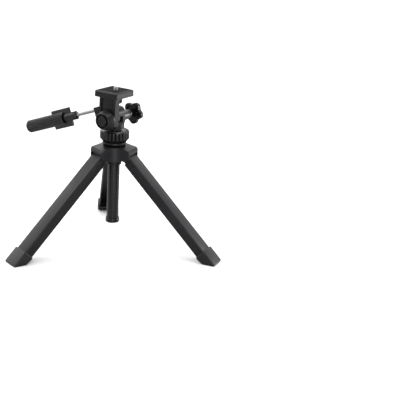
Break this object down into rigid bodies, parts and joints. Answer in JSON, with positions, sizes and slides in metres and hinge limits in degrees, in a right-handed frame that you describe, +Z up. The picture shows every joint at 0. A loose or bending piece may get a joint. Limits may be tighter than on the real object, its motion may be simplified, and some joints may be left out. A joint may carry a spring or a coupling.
{
  "type": "tabletop tripod with pan and tilt head",
  "caption": "Black tabletop tripod with folding channel legs, a sliding centre column and a pan-and-tilt head with a side handle and a camera screw.",
  "frame": {"origin": "on the ground, on the axis of the centre column", "axes": "+Z up along the column, the rear leg points along +Y, the front legs open towards -Y"},
  "size_m": [0.303, 0.2628, 0.2342],
  "materials": {
    "painted_casting": "satin black paint, fine texture",
    "leg_paint": "satin black powder coat",
    "black_plastic": "moulded, fine matt grain",
    "foot_rubber": "matt",
    "pad_rubber": "matt",
    "column_tube": "black anodised, gloss",
    "zinc_steel": "zinc plated",
    "bright_screw": "bright, cut thread",
    "chrome_rod": "polished",
    "brass_insert": "turned",
    "nylon": "smooth black nylon"
  },
  "bodies": {
    "crown": {"crown": "painted_casting", "crown_base": "painted_casting", "base_screws": "zinc_steel", "leg_pins": "zinc_steel", "column_bush": "nylon"},
    "lock_nut": {"lock_nut": "black_plastic"},
    "column": {"column_tube": "column_tube", "column_end_cap": "black_plastic", "end_cap_screw": "zinc_steel", "column_plug": "black_plastic", "pan_washer": "nylon"},
    "turret": {"turret": "painted_casting", "pan_bolt": "zinc_steel", "pan_spring_washer": "zinc_steel", "knuckle_washer": "zinc_steel", "tilt_spacer": "black_plastic"},
    "platform": {"platform_bracket": "painted_casting", "platform_pad": "pad_rubber", "tilt_boss": "painted_casting", "boss_dowels": "zinc_steel", "tilt_bolt": "zinc_steel", "tilt_cap": "black_plastic", "tilt_friction_disc": "nylon"},
    "tilt_knob": {"tilt_knob": "black_plastic", "tilt_knob_insert": "brass_insert"},
    "camera_screw": {"camera_screw": "bright_screw", "thumbwheel": "black_plastic", "camera_screw_clip": "zinc_steel"},
    "handle": {"handle_rod": "chrome_rod", "handle_collar": "black_plastic", "handle_grip": "black_plastic", "handle_end_cap": "black_plastic"},
    "leg_left": {"leg_channel_left": "leg_paint", "leg_block_left": "black_plastic", "leg_rivets_left": "leg_paint", "foot_left": "foot_rubber"},
    "leg_right": {"leg_channel_right": "leg_paint", "leg_block_right": "black_plastic", "leg_rivets_right": "leg_paint", "foot_right": "foot_rubber"},
    "leg_rear": {"leg_channel_rear": "leg_paint", "leg_block_rear": "black_plastic", "leg_rivets_rear": "leg_paint", "foot_rear": "foot_rubber"}
  },
  "joints": [
    {"name": "leg_fold_left", "type": "hinge", "parent": "crown", "child": "leg_left", "pos_m": [-0.01905, -0.011, 0.1365], "axis": [0.5, -0.866, 0], "range_deg": [0, 45]},
    {"name": "leg_fold_right", "type": "hinge", "parent": "crown", "child": "leg_right", "pos_m": [0.01905, -0.011, 0.1365], "axis": [0.5, 0.866, 0], "range_deg": [0, 45]},
    {"name": "leg_fold_rear", "type": "hinge", "parent": "crown", "child": "leg_rear", "pos_m": [0, 0.022, 0.1365], "axis": [-1, 0, 0], "range_deg": [0, 45]},
    {"name": "lock_nut_turn", "type": "hinge", "parent": "crown", "child": "lock_nut", "pos_m": [0, 0, 0.164], "axis": [0, 0, 1], "range_deg": [0, 180]},
    {"name": "column_slide", "type": "slide", "parent": "crown", "child": "column", "axis": [0, 0, 1], "range_m": [0, 0.075]},
    {"name": "head_pan", "type": "hinge", "parent": "column", "child": "turret", "pos_m": [0, 0, 0.1746], "axis": [0, 0, 1], "continuous": true},
    {"name": "head_tilt", "type": "hinge", "parent": "turret", "child": "platform", "pos_m": [0, 0, 0.1892], "axis": [0.6494, 0.7604, 0], "range_deg": [-30, 90]},
    {"name": "tilt_knob_turn", "type": "hinge", "parent": "platform", "child": "tilt_knob", "pos_m": [0.02598, 0.03042, 0.1892], "axis": [0.6494, 0.7604, 0], "range_deg": [0, 270]},
    {"name": "camera_screw_spin", "type": "hinge", "parent": "platform", "child": "camera_screw", "pos_m": [0, 0, 0.2165], "axis": [0, 0, 1], "continuous": true},
    {"name": "handle_twist", "type": "hinge", "parent": "platform", "child": "handle", "pos_m": [-0.01389, -0.0072, 0.20494], "axis": [-0.7123, 0.6083, -0.3502], "range_deg": [0, 180]}
  ]
}
